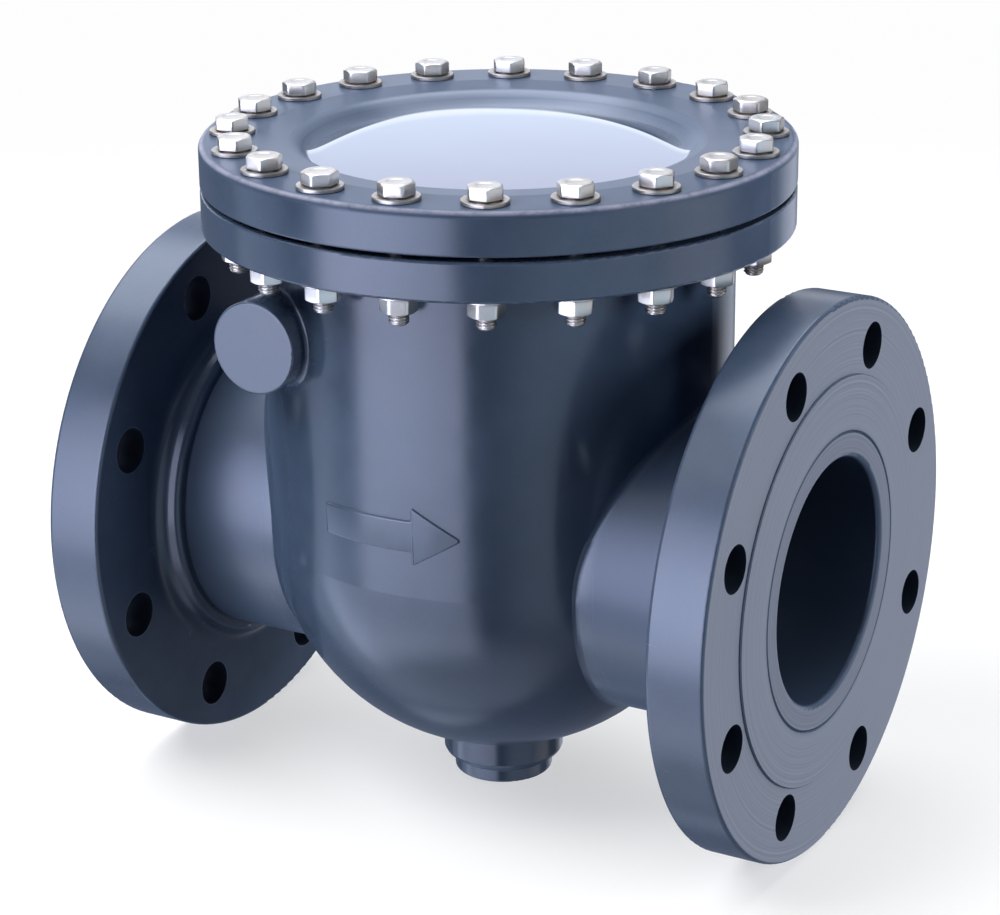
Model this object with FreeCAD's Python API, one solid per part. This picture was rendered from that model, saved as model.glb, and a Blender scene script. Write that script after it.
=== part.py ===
import FreeCAD, Part
import math
import os

# Flanged thermoplastic swing check valve, nominal size 100 (4 inch), millimetres.
# The geometry is written about the point where the flow axis crosses the upright
# body axis: +X downstream, +Z up, hinge along Y. save() moves it so that the origin
# of the finished frame is the centre of the inlet face, on the flow axis.

os.makedirs("parts", exist_ok=True)
vec = FreeCAD.Vector

# ---- pipe interface ----
face_to_face = 300.0
half_length = face_to_face / 2
flange_r = 228.6 / 2
flange_t = 24.0          # plate without the raised face
raised_face_h = 1.0
raised_face_r = 167.0 / 2
pipe_holes = 8
pipe_bolt_circle_r = 190.5 / 2
pipe_hole_r = 19.05 / 2
bore_r = 50.0
bore_lip = 2.4           # rounding at the two open ends of the bore
stub_r = 60.5            # neck end that is cemented into the flange
stub_gap = 0.05          # radial gap between stub and flange
hub_r = 69.5             # flange hub around the stub, at its inboard end
hub_root_r = 73.0        # and where it meets the plate
hub_end_x = 115.5
neck_r = 65.5
neck_fillet = 3.5

# ---- body ----
barrel_r = 96.0
wall_r = 83.0            # inner radius of the chamber
bowl_z = 1.0             # centre height of the round bottom
rim_r = 120.0            # bonnet joint radius
body_rim_z0 = 129.7      # underside of the body rim
body_rim_z1 = 145.7      # top of the body rim
bonnet_z0 = 147.5        # underside of the bonnet rim
bonnet_z1 = 165.0        # top of the bonnet rim

# ---- drain ----
drain_r = 20.8
drain_end_z = -113.0
drain_collar_r = 25.4
drain_collar_z = -103.0  # lower edge of the collar above the drain boss
drain_seat_z = bowl_z - barrel_r - 2.0   # inner end of the plug hole
drain_bore_r = 7.0
drain_hole_r = 9.0

# ---- bonnet bolting ----
n_bolts = 20
bolt_circle_r = 214.2 / 2
bolt_phase = 9.0         # angle of the first bolt, degrees
bolt_r = 4.0
bolt_hole_r = 4.5
bolt_len = 50.0
bolt_af = 13.0           # af: size across the flats of a hexagon
bolt_head_h = 5.3
washer_r = 9.25
washer_hole_r = 4.3
washer_t = 1.6
nut_af = 13.0
nut_h = 6.6

# ---- gasket ----
gasket_ri = 86.0
gasket_ro = 98.0
gasket_gap = 0.2         # side gap in the groove
gasket_z = body_rim_z1 - 2.0   # floor of the groove

# ---- hinge ----
hinge_x = -55.0
hinge_z = 94.0
hinge_boss_r = 18.8
hinge_boss_y = 98.6
hinge_blind_y = -82.0    # closed end of the hinge bore
hinge_plug_y = 84.0      # shoulder behind the plug
shaft_r = 7.0
shaft_y = 80.0
bush_ri = 7.05
bush_ro = 10.0
bush_flange_r = 13.0
bush_y0 = 55.0           # inner face of the bush flange
bush_y1 = 58.0           # shoulder in the chamber wall
bush_y2 = 78.0           # outer end of the bush
arm_half = 30.0          # half width of the arm's hinge hub
pin_r = 2.5              # cross pin through arm and shaft
pin_y = 18.0

# ---- seat, disc and arm; "face" is the upstream side ----
seat_x = -62.0           # seat face
seat_flange_x = -68.0
seat_r = 60.0
seat_spigot_r = 56.0
seat_spigot_x = -84.0
seat_gap = 0.05
disc_r = 58.0
disc_face_x = -58.0
disc_back_x = -48.0
seal_ri = 46.0
retainer_x = disc_face_x - 3.6   # upstream face of the retainer
stud_r = 6.0
stud_end_x = -17.0
cotter_x = stud_end_x - 4.0
arm_x0 = -45.0
arm_x1 = -36.0
arm_gap = 0.4            # between the arm and what lies on either side
heel_z = hinge_z + 24.0
bumper_stem_r = 2.5
bumper_stem_depth = 4.0


# ---- helpers ----
def at_x(x):
    return (x, 0, 0)


def at_z(z):
    return (0, 0, z)


def on_hinge(y):
    return (hinge_x, y, hinge_z)


def solid(shape):
    """Merge split faces and unwrap a compound that holds a single solid."""
    merged = shape.removeSplitter()
    if merged.ShapeType == "Compound" and len(merged.Solids) == 1:
        merged = merged.Solids[0]
    return merged


def cyl(radius, start, end):
    axis = vec(*end) - vec(*start)
    return Part.makeCylinder(radius, axis.Length, vec(*start), axis)


def ring(outer_r, inner_r, start, end):
    first, last = vec(*start), vec(*end)
    step = (last - first).normalize()
    return cyl(outer_r, start, end).cut(cyl(inner_r, first - step, last + step))


def lathe_z(points, centre=(0, 0, 0)):
    """Revolve (radius, z) points about an upright axis through centre."""
    corners = [vec(r, 0, z) for r, z in points]
    turned = Part.Face(Part.makePolygon(corners + corners[:1])).revolve(
        vec(0, 0, 0), vec(0, 0, 1), 360)
    turned.translate(vec(*centre))
    return turned


def lathe_x(points, side=1):
    """Revolve (x, radius) points about the flow axis; side -1 mirrors them in x."""
    corners = [vec(x * side, r, 0) for x, r in points]
    return Part.Face(Part.makePolygon(corners + corners[:1])).revolve(
        vec(0, 0, 0), vec(1, 0, 0), 360)


def round_bottomed(radius, points):
    """Upright round-bottomed solid; (radius, z) points continue above the bowl."""
    bottom = vec(0, 0, bowl_z - radius)
    diagonal = radius * math.sin(math.pi / 4)
    corners = [vec(radius, 0, bowl_z)] + [vec(r, 0, z) for r, z in points] + [bottom]
    edges = [Part.Arc(bottom, vec(diagonal, 0, bowl_z - diagonal), corners[0]).toShape()]
    edges += [Part.makeLine(a, b) for a, b in zip(corners, corners[1:])]
    return Part.Face(Part.Wire(edges)).revolve(vec(0, 0, 0), vec(0, 0, 1), 360)


def hexagon(across_flats, start, axis, height):
    """Hexagonal prism from start along axis."""
    normal = vec(*axis).normalize()
    side = vec(1, 0, 0) if abs(normal.x) < 0.5 else vec(0, 1, 0)
    side = (side - normal * side.dot(normal)).normalize()
    cross = normal.cross(side)
    radius = across_flats / math.sqrt(3)
    corners = []
    for k in range(6):
        a = math.radians(60 * k + 30)
        corners.append(vec(*start) + side * (radius * math.cos(a))
                       + cross * (radius * math.sin(a)))
    return Part.Face(Part.makePolygon(corners + corners[:1])).extrude(normal * height)


def near(value, target, tol=0.02):
    return abs(value - target) < tol


def flow_radius(point):
    return math.hypot(point.y, point.z)


def upright_radius(point):
    return math.hypot(point.x, point.y)


def hinge_radius(point):
    return math.hypot(point.x - hinge_x, point.z - hinge_z)


def circle_x(radius, x):
    """Edge test: a circle about the flow axis."""
    return lambda point: near(flow_radius(point), radius) and near(point.x, x)


def circle_z(radius, z):
    """Edge test: a circle about the upright axis."""
    return lambda point: near(upright_radius(point), radius) and near(point.z, z)


def edges_where(shape, test):
    """Edges on which three sample points all pass the test."""
    found = []
    for edge in shape.Edges:
        # A degenerate edge, as at a pole, may have no curve to sample.
        try:
            a, b = edge.ParameterRange
            samples = [edge.valueAt(a + (b - a) * t) for t in (0.13, 0.5, 0.87)]
        except Exception:
            continue
        if all(test(point) for point in samples):
            found.append(edge)
    if not found:
        raise RuntimeError("no edge passes the test")
    return found


def fillet(shape, radius, test):
    return shape.makeFillet(radius, edges_where(shape, test))


def chamfer(shape, size, test):
    return shape.makeChamfer(size, edges_where(shape, test))


def save(name, shape):
    moved = shape.copy()
    moved.translate(vec(half_length, 0, 0))
    moved.exportStep("parts/%s.step" % name)


def at_bolt(shape, k):
    """Copy of a shape made at angle zero, turned to bolt place k."""
    placed = shape.copy()
    placed.rotate(vec(0, 0, 0), vec(0, 0, 1), bolt_phase + 360.0 * k / n_bolts)
    return placed


def at_all_bolts(shape):
    return Part.makeCompound([at_bolt(shape, k) for k in range(n_bolts)])


def bolt_holes():
    return at_all_bolts(cyl(bolt_hole_r, (bolt_circle_r, 0, body_rim_z0 - 5),
                            (bolt_circle_r, 0, bonnet_z1 + 5)))


def pin_hole():
    return cyl(pin_r, (hinge_x - 20, pin_y, hinge_z), (hinge_x + 20, pin_y, hinge_z))


# ---- body: barrel, top rim, two necks, hinge bosses and drain boss ----
def barrel():
    shape = round_bottomed(barrel_r, [(barrel_r, body_rim_z0), (rim_r, body_rim_z0),
                                      (rim_r, body_rim_z1), (0, body_rim_z1)])
    shape = fillet(shape, 1.4, circle_z(barrel_r, body_rim_z0))
    shape = fillet(shape, 1.2, circle_z(rim_r, body_rim_z0))
    return fillet(shape, 0.9, circle_z(rim_r, body_rim_z1))


def drain_boss():
    # The top is sunk into the wall above where the collar meets the bowl.
    top_z = bowl_z - math.sqrt(barrel_r ** 2 - drain_collar_r ** 2) + 12
    boss = lathe_z([
        (0, top_z), (drain_collar_r, top_z), (drain_collar_r, drain_collar_z),
        (drain_collar_r - 0.7, drain_collar_z - 1.4), (drain_r + 0.9, drain_collar_z - 3.4),
        (drain_r, drain_collar_z - 4.4), (drain_r, drain_end_z), (0, drain_end_z)])
    return fillet(boss, 1.2, circle_z(drain_r, drain_end_z))


def body_outside():
    outer = solid(barrel().fuse(cyl(neck_r, at_x(-hub_end_x), at_x(hub_end_x))))
    outer = fillet(outer, neck_fillet, lambda point: near(flow_radius(point), neck_r, 0.05)
                   and abs(point.x) < 95)
    for side in (-1, 1):
        boss = cyl(hinge_boss_r, on_hinge(0), on_hinge(side * hinge_boss_y))
        outer = solid(outer.fuse(boss))
    outer = fillet(outer, 0.9, lambda point: near(hinge_radius(point), hinge_boss_r, 0.05)
                   and near(abs(point.y), hinge_boss_y))
    # The boss root crosses the barrel and the rim, where the fillet may fail;
    # the root then stays sharp.
    try:
        outer = fillet(outer, 1.6, lambda point: near(hinge_radius(point), hinge_boss_r, 0.05)
                       and abs(point.y) < hinge_boss_y - 5)
    except Exception:
        pass
    outer = solid(outer.fuse(drain_boss()))
    for side in (-1, 1):
        stub = cyl(stub_r, at_x(side * (hub_end_x - 1)), at_x(side * half_length))
        stub = chamfer(stub, 0.7, circle_x(stub_r, side * half_length))
        outer = solid(outer.fuse(stub))
    return outer


def valve_body():
    open_z = body_rim_z1 + 5
    body = body_outside().cut(round_bottomed(wall_r, [(wall_r, open_z), (0, open_z)]))
    body = body.cut(cyl(bore_r, at_x(-half_length - 1), at_x(half_length + 1)))
    body = fillet(body, bore_lip, lambda point: near(flow_radius(point), bore_r, 0.05)
                  and near(abs(point.x), half_length, 0.05))
    # seat pocket and its spigot bore
    body = body.cut(cyl(seat_r + 0.3, at_x(seat_flange_x), at_x(0)))
    body = body.cut(cyl(seat_spigot_r + 0.05, at_x(seat_spigot_x), at_x(0)))
    # hinge lands, then the bush bore with its blind end at -Y, then the plug bore at +Y
    body = body.cut(cyl(15.0, on_hinge(-bush_y1), on_hinge(bush_y1)))
    body = body.cut(cyl(bush_ro + 0.03, on_hinge(hinge_blind_y), on_hinge(hinge_plug_y)))
    body = body.cut(cyl(12.5, on_hinge(hinge_plug_y), on_hinge(hinge_boss_y + 1)))
    # gasket groove and bolt holes in the top rim
    body = body.cut(ring(gasket_ro + gasket_gap, gasket_ri - gasket_gap,
                         at_z(gasket_z), at_z(body_rim_z1 + 1)))
    body = body.cut(bolt_holes())
    # drain bore, plug hole and counterbore
    body = body.cut(cyl(drain_bore_r, at_z(drain_seat_z), at_z(0)))
    body = body.cut(cyl(drain_hole_r, at_z(drain_end_z - 1), at_z(drain_seat_z)))
    body = body.cut(cyl(12.2, at_z(drain_end_z - 1), at_z(drain_end_z + 3.0)))
    return solid(body)


save("valve_body", valve_body())


# ---- pipe flanges, cemented on the neck stubs; side -1 is the inlet ----
def pipe_flange(side):
    raised_x = half_length - raised_face_h
    plate_x = raised_x - flange_t
    hole_r = stub_r + stub_gap
    flange = lathe_x([
        (half_length, hole_r), (half_length, raised_face_r), (raised_x, raised_face_r),
        (raised_x, flange_r), (plate_x, flange_r), (plate_x, hub_root_r),
        (hub_end_x, hub_r), (hub_end_x, hole_r)], side)
    for radius, edge_r, x in ((7.5, hub_root_r, plate_x), (3.6, hub_r, hub_end_x),
                              (1.6, flange_r, raised_x), (1.6, flange_r, plate_x)):
        flange = fillet(flange, radius, circle_x(edge_r, side * x))
    flange = chamfer(flange, 0.6, circle_x(hole_r, side * half_length))
    flange = chamfer(flange, 0.5, circle_x(raised_face_r, side * half_length))
    for k in range(pipe_holes):
        a = math.radians(360.0 / pipe_holes * (k + 0.5))
        y, z = pipe_bolt_circle_r * math.cos(a), pipe_bolt_circle_r * math.sin(a)
        flange = flange.cut(cyl(pipe_hole_r, (side * (plate_x - 2), y, z),
                                (side * (half_length + 2), y, z)))
    return solid(flange)


save("inlet_flange", pipe_flange(-1))
save("outlet_flange", pipe_flange(1))


# ---- bonnet with a dished top and a spigot that locates it in the chamber ----
spigot_r = 82.0
spigot_z = 139.0
dish_slope_r = 97.0      # inside this the top falls gently to the dish lip
dish_lip_r = 81.2
dish_lip_z = 163.6
dish_floor_r = 74.6
dish_floor_z = 157.0


def bonnet():
    shape = lathe_z([
        (0, spigot_z), (spigot_r, spigot_z), (spigot_r, bonnet_z0), (rim_r, bonnet_z0),
        (rim_r, bonnet_z1), (dish_slope_r, bonnet_z1), (dish_lip_r, dish_lip_z),
        (dish_floor_r, dish_floor_z), (0, dish_floor_z)])
    for radius, edge_r, z in ((2.6, rim_r, bonnet_z1), (0.9, rim_r, bonnet_z0),
                              (8.0, dish_lip_r, dish_lip_z),
                              (13.0, dish_floor_r, dish_floor_z),
                              (2.0, spigot_r, spigot_z)):
        shape = fillet(shape, radius, circle_z(edge_r, z))
    return solid(shape.cut(bolt_holes()))


save("bonnet", bonnet())
save("bonnet_gasket", ring(gasket_ro, gasket_ri, at_z(gasket_z), at_z(bonnet_z0)))

# ---- bonnet bolts, washers and nuts ----
head_z = bonnet_z1 + washer_t
bolt_end_z = head_z - bolt_len
nut_z1 = body_rim_z0 - washer_t
nut_z0 = nut_z1 - nut_h
hex_bevel_h = 0.958      # height of the corner bevel at 1 mm beyond the corners
hex_bevel_inset = 0.15   # bevel start inside the flats
# uneven wrench angle of each bolt and nut, degrees
turns = [17, 41, 5, 28, 52, 11, 36, 47, 22, 0, 31, 8, 55, 19, 44, 13, 38, 26, 50, 3]


def bevelled_hex(across_flats, z0, z1, both_ends=False):
    """Hexagon at the bolt circle, corners bevelled at the top or at both ends."""
    centre = (bolt_circle_r, 0, 0)
    shape = hexagon(across_flats, (bolt_circle_r, 0, z0), (0, 0, 1), z1 - z0)
    outside_r = across_flats / math.sqrt(3) + 1
    flat_r = across_flats / 2 - hex_bevel_inset
    shape = shape.common(lathe_z([(0, z0 - 1), (outside_r, z0 - 1),
                                  (outside_r, z1 - hex_bevel_h), (flat_r, z1), (0, z1)], centre))
    if both_ends:
        shape = shape.common(lathe_z([(0, z1 + 1), (outside_r, z1 + 1),
                                      (outside_r, z0 + hex_bevel_h), (flat_r, z0), (0, z0)],
                                     centre))
    return shape


def turned_at_bolt(shape, k, extra):
    turned = shape.copy()
    turned.rotate(vec(bolt_circle_r, 0, 0), vec(0, 0, 1), turns[k] + extra)
    return at_bolt(turned, k)


def bonnet_bolt():
    shank = cyl(bolt_r, (bolt_circle_r, 0, bolt_end_z), (bolt_circle_r, 0, head_z + 0.5))
    shank = chamfer(shank, 0.8, lambda point: near(point.z, bolt_end_z))
    return solid(bevelled_hex(bolt_af, head_z, head_z + bolt_head_h).fuse(shank))


def washer(z):
    shape = ring(washer_r, washer_hole_r, (bolt_circle_r, 0, z),
                 (bolt_circle_r, 0, z + washer_t))
    return chamfer(shape, 0.25, lambda point: near(
        math.hypot(point.x - bolt_circle_r, point.y), washer_r))


def bonnet_nut():
    shape = bevelled_hex(nut_af, nut_z0, nut_z1, both_ends=True)
    return solid(shape.cut(cyl(bolt_r + 0.05, (bolt_circle_r, 0, nut_z0 - 1),
                               (bolt_circle_r, 0, nut_z1 + 1))))


bolt = bonnet_bolt()
save("bonnet_bolts", Part.makeCompound([turned_at_bolt(bolt, k, 0) for k in range(n_bolts)]))
save("bolt_washers", at_all_bolts(washer(bonnet_z1)))
save("nut_washers", at_all_bolts(washer(nut_z1)))
nut = bonnet_nut()
# Steps of seven places visit every bolt once.
save("bonnet_nuts", Part.makeCompound(
    [turned_at_bolt(nut, (k * 7) % n_bolts, 9) for k in range(n_bolts)]))


# ---- seat ring and its O-ring ----
def seat_ring():
    step_x = seat_x - 1.2    # foot of the raised seat face
    seat = lathe_x([
        (seat_spigot_x, bore_r), (seat_spigot_x, seat_spigot_r),
        (seat_flange_x, seat_spigot_r), (seat_flange_x, seat_r), (step_x, seat_r),
        (step_x, 57.0), (seat_x, 55.5), (seat_x, 52.0), (step_x, bore_r + 0.6),
        (step_x, bore_r)])
    groove = ring(seat_spigot_r + 1, seat_spigot_r - 2.2, at_x(-78.5), at_x(-74.5))
    return solid(seat.cut(groove))


save("seat_ring", seat_ring())
save("seat_oring", Part.makeTorus(seat_spigot_r - 1.1, 1.05, vec(-76.5, 0, 0), vec(1, 0, 0)))


# ---- hinge: shaft, bushes, spacers, plug and O-ring ----
def hinge_shaft():
    shaft = cyl(shaft_r, on_hinge(-shaft_y), on_hinge(shaft_y))
    shaft = chamfer(shaft, 0.8, lambda point: near(abs(point.y), shaft_y))
    return solid(shaft.cut(pin_hole()))


def bush(side):
    sleeve = ring(bush_ro, bush_ri, on_hinge(side * bush_y0), on_hinge(side * bush_y2))
    flange = ring(bush_flange_r, bush_ri, on_hinge(side * bush_y0), on_hinge(side * bush_y1))
    return solid(sleeve.fuse(flange))


def spacer(side):
    return ring(10.5, shaft_r + 0.05, on_hinge(side * (arm_half + 0.1)),
                on_hinge(side * (bush_y0 - 0.1)))


def hinge_plug():
    head_r = 16.5
    head_y0 = hinge_boss_y + 1.6
    head_y1 = hinge_boss_y + 7.0
    plug = cyl(12.4, on_hinge(hinge_plug_y + 0.6), on_hinge(head_y0))
    plug = solid(plug.fuse(cyl(head_r, on_hinge(head_y0), on_hinge(head_y1))))
    plug = fillet(plug, 1.2, lambda point: near(hinge_radius(point), head_r)
                  and near(point.y, head_y1))
    socket = hexagon(12.0, on_hinge(hinge_boss_y + 1.0), (0, 1, 0), 10)
    return solid(plug.cut(socket))


save("hinge_shaft", hinge_shaft())
for side, end_name in ((-1, "front"), (1, "rear")):
    save("bush_" + end_name, bush(side))
    save("spacer_" + end_name, spacer(side))
save("hinge_plug", hinge_plug())
save("hinge_plug_oring", Part.makeTorus(13.4, 0.8, vec(*on_hinge(hinge_boss_y + 0.8)),
                                        vec(0, 1, 0)))

# ---- swing arm: hinge hub, plate, disc hub, rib and a heel that carries the stop ----
# (y, z) outline of the arm plate
arm_outline = [(-19, 0), (-14, 40), (-22, 84), (-22, 98),
               (22, 98), (22, 84), (14, 40), (19, 0)]
rib_w = 9.0
heel_x_size = 13.0
heel_y_size = 18.0


def swing_arm():
    arm = cyl(13.0, on_hinge(-arm_half), on_hinge(arm_half))
    corners = [vec(arm_x0, y, z) for y, z in arm_outline]
    plate = Part.Face(Part.makePolygon(corners + corners[:1]))
    arm = arm.fuse(plate.extrude(vec(arm_x1 - arm_x0, 0, 0)))
    arm = arm.fuse(cyl(19.0, at_x(arm_x0), at_x(arm_x1)))
    # rib on the downstream face, cut clear of the stud washer and nut
    rib = Part.makeBox(4.0, rib_w, 86.0, vec(arm_x1 - 1.0, -rib_w / 2, 2.0))
    arm = arm.fuse(rib.cut(cyl(15.5, at_x(arm_x1 - 3), at_x(arm_x1 + 9))))
    arm = arm.fuse(Part.makeBox(heel_x_size, heel_y_size, heel_z - hinge_z + 2.0,
                                vec(hinge_x - heel_x_size / 2, -heel_y_size / 2, hinge_z)))
    arm = arm.cut(cyl(shaft_r + 0.02, on_hinge(-50), on_hinge(50)))
    arm = arm.cut(cyl(stud_r + 0.06, at_x(arm_x0 - 20), at_x(arm_x1 + 20)))
    arm = arm.cut(pin_hole())
    arm = arm.cut(cyl(bumper_stem_r, (hinge_x, 0, heel_z - bumper_stem_depth),
                      (hinge_x, 0, heel_z + 5)))
    return solid(arm)


def arm_pin():
    half_pin = 12.0
    pin = cyl(pin_r, (hinge_x - half_pin, pin_y, hinge_z), (hinge_x + half_pin, pin_y, hinge_z))
    return chamfer(pin, 0.4, lambda point: near(abs(point.x - hinge_x), half_pin))


def stop_bumper():
    """Ball cap on top of the heel, with a stem down into it."""
    cap = Part.makeSphere(7.0, vec(hinge_x, 0, heel_z))
    cap = cap.common(Part.makeBox(40, 40, 40, vec(hinge_x - 20, -20, heel_z + 2.0)))
    return solid(cap.fuse(cyl(bumper_stem_r, (hinge_x, 0, heel_z - bumper_stem_depth),
                              (hinge_x, 0, heel_z + 3))))


save("swing_arm", swing_arm())
save("arm_pin", arm_pin())
save("stop_bumper", stop_bumper())


# ---- disc, soft seal, retainer, stud, washer, nut and cotter ----
def disc():
    boss_x = arm_x0 - arm_gap
    shape = cyl(disc_r, at_x(disc_face_x), at_x(disc_back_x))
    shape = fillet(shape, 1.5, circle_x(disc_r, disc_back_x))
    shape = shape.fuse(cyl(15.0, at_x(disc_back_x - 1), at_x(boss_x)))
    # thin lip around the seal
    lip = ring(disc_r, seal_ri + 6.5, at_x(disc_face_x - 2.4), at_x(disc_face_x))
    lip = lip.cut(ring(disc_r - 0.9, seal_ri, at_x(disc_face_x - 4), at_x(disc_face_x)))
    shape = shape.fuse(lip)
    return solid(shape.cut(cyl(stud_r, at_x(disc_face_x - 5), at_x(boss_x + 1))))


def disc_retainer():
    radius = seal_ri - 0.05
    shape = cyl(radius, at_x(retainer_x), at_x(disc_face_x))
    shape = fillet(shape, 1.0, circle_x(radius, retainer_x))
    return solid(shape.cut(cyl(stud_r, at_x(disc_face_x - 5), at_x(disc_face_x + 1))))


def disc_stud():
    stud = cyl(stud_r, at_x(disc_face_x - 4), at_x(stud_end_x))
    stud = chamfer(stud, 0.9, lambda point: near(point.x, stud_end_x))
    stud = stud.fuse(lathe_x([(retainer_x, 0), (retainer_x, 12.0), (retainer_x - 1.6, 12.0),
                              (retainer_x - 4.6, 8.5), (retainer_x - 4.6, 0)]))
    return solid(stud.cut(cyl(1.6, (cotter_x, -10, 0), (cotter_x, 10, 0))))


def stud_nut(x0, x1):
    shape = hexagon(19.0, at_x(x0), (1, 0, 0), x1 - x0)
    shape = shape.common(lathe_x([(x0 - 1, 0), (x0 - 1, 13), (x1 - 1.2, 13),
                                  (x1, 9.4), (x1, 0)]))
    return solid(shape.cut(cyl(stud_r + 0.02, at_x(x0 - 1), at_x(x1 + 1))))


def cotter_pin():
    half_pin = 9.5
    pin = cyl(1.5, (cotter_x, -half_pin, 0), (cotter_x, half_pin, 0))
    return solid(pin.fuse(Part.makeSphere(2.6, vec(cotter_x, -half_pin, 0))))


save("disc", disc())
save("disc_seal", ring(disc_r - 0.95, seal_ri, at_x(seat_x + seat_gap), at_x(disc_face_x)))
save("disc_retainer", disc_retainer())
save("disc_stud", disc_stud())
stud_washer_x = arm_x1 + arm_gap
stud_nut_x = stud_washer_x + 2.0
save("stud_washer", ring(12.0, stud_r + 0.2, at_x(stud_washer_x), at_x(stud_nut_x)))
save("stud_nut", stud_nut(stud_nut_x, stud_nut_x + 10.0))
save("cotter_pin", cotter_pin())


# ---- flush drain plug in the bottom boss ----
def drain_plug():
    plug = cyl(drain_hole_r - 0.1, at_z(drain_seat_z - 0.2), at_z(drain_end_z + 1.0))
    plug = solid(plug.fuse(cyl(12.0, at_z(drain_end_z + 1.2), at_z(drain_end_z + 0.1))))
    return solid(plug.cut(hexagon(8.0, at_z(drain_end_z), (0, 0, 1), 7.0)))


save("drain_plug", drain_plug())
save("drain_plug_oring", Part.makeTorus(10.0, 0.75, vec(0, 0, drain_end_z + 2.1),
                                        vec(0, 0, 1)))
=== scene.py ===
# A flanged PVC swing check valve. Its pipe axis lies along X, from the inlet at low x to the
# outlet at high x. The bolted bonnet is on top (+Z) and a raised arrow on the -Y side points to +X.
import math

import bmesh
import bpy
from mathutils import Matrix, Vector


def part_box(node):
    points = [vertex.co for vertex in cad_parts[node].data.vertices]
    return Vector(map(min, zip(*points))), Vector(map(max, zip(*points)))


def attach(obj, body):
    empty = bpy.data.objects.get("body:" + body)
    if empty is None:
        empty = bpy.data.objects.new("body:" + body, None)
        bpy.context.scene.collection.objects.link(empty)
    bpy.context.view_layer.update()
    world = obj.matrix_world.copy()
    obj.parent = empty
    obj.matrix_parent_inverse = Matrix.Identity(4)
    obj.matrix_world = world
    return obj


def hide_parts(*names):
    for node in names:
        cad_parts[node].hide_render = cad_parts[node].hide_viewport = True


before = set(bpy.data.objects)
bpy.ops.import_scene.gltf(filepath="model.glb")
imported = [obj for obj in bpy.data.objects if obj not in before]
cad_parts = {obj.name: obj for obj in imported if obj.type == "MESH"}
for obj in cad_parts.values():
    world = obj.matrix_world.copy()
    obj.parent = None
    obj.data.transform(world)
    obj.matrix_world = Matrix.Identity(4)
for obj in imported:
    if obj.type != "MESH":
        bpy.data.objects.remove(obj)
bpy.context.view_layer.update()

SCENE = bpy.context.scene
MM = 0.001

# --------------------------------------------------------------------------
# Driving sizes and places, in metres unless marked mm or degrees
rim_low, rim_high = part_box("bonnet")
bolt_low, bolt_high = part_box("bonnet_bolts")
nut_low, nut_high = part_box("bonnet_nuts")
pin_low, pin_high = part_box("cotter_pin")

CENTRE_X = (rim_low.x + rim_high.x) / 2  # bonnet axis
RIM_RADIUS = (rim_high.x - rim_low.x) / 2
BONNET_TOP = rim_high.z
PIPE_MIDDLE_X = 0.15  # halfway between the flange faces
GROUND_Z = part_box("inlet_flange")[0].z - 0.0002
CENTRE_Y = (rim_low.y + rim_high.y) / 2

# M8 bolts and nuts
BOLT_COUNT = 20
BOLT_CIRCLE = 0.1071  # radius
BOLT_PHASE = 9.0  # degrees from +X to the first bolt
BOLT_TURNS = [17, 41, 5, 28, 52, 11, 36, 47, 22, 0,
              31, 8, 55, 19, 44, 13, 38, 26, 50, 3]  # degrees each head is turned
HEAD_HEIGHT = 5.3  # mm
HEAD_Z = bolt_high.z - HEAD_HEIGHT * MM  # underside of the heads
BOLT_LENGTH = (HEAD_Z - bolt_low.z) / MM  # mm, below the head
NUT_HEIGHT = (nut_high.z - nut_low.z) / MM  # mm
ACROSS_FLATS = 13.0  # mm
CORNER_SOFTENING = 0.22  # mm
CHAMFER_START = 0.04  # mm, from the end face down to the inner end of the chamfer
CHAMFER_INSET = 0.16  # mm, from the hexagon in to the outer end of the chamfer
SHANK_RADIUS = 3.98  # mm
NUT_BORE = 4.03  # mm, radius

# Raised arrow: angles in degrees from -Y toward +X, heights in mm
BARREL_RADIUS = 0.096
ARROW_TAIL, ARROW_NECK, ARROW_TIP = -16.4, 8.1, 20.6
ARROW_Z = 26.7
ARROW_SHAFT_HALF = 6.6
ARROW_HEAD_HALF = 12.4
ARROW_SLICE = 1.7  # mm between the cuts that let it follow the barrel

# Split pin, lying along Y
PIN_X = (pin_low.x + pin_high.x) / 2
WIRE_RADIUS = 0.00070
LEG_Z = WIRE_RADIUS * 0.98  # height of each leg above or below the pin's axis
PIN_END_Y = 0.0098
TAIL_BEND = 0.0022  # radius
LEG_START_Y = -0.0085  # where the legs leave the eye
EYE_Y, EYE_RADIUS = -0.0104, 0.0016


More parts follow.
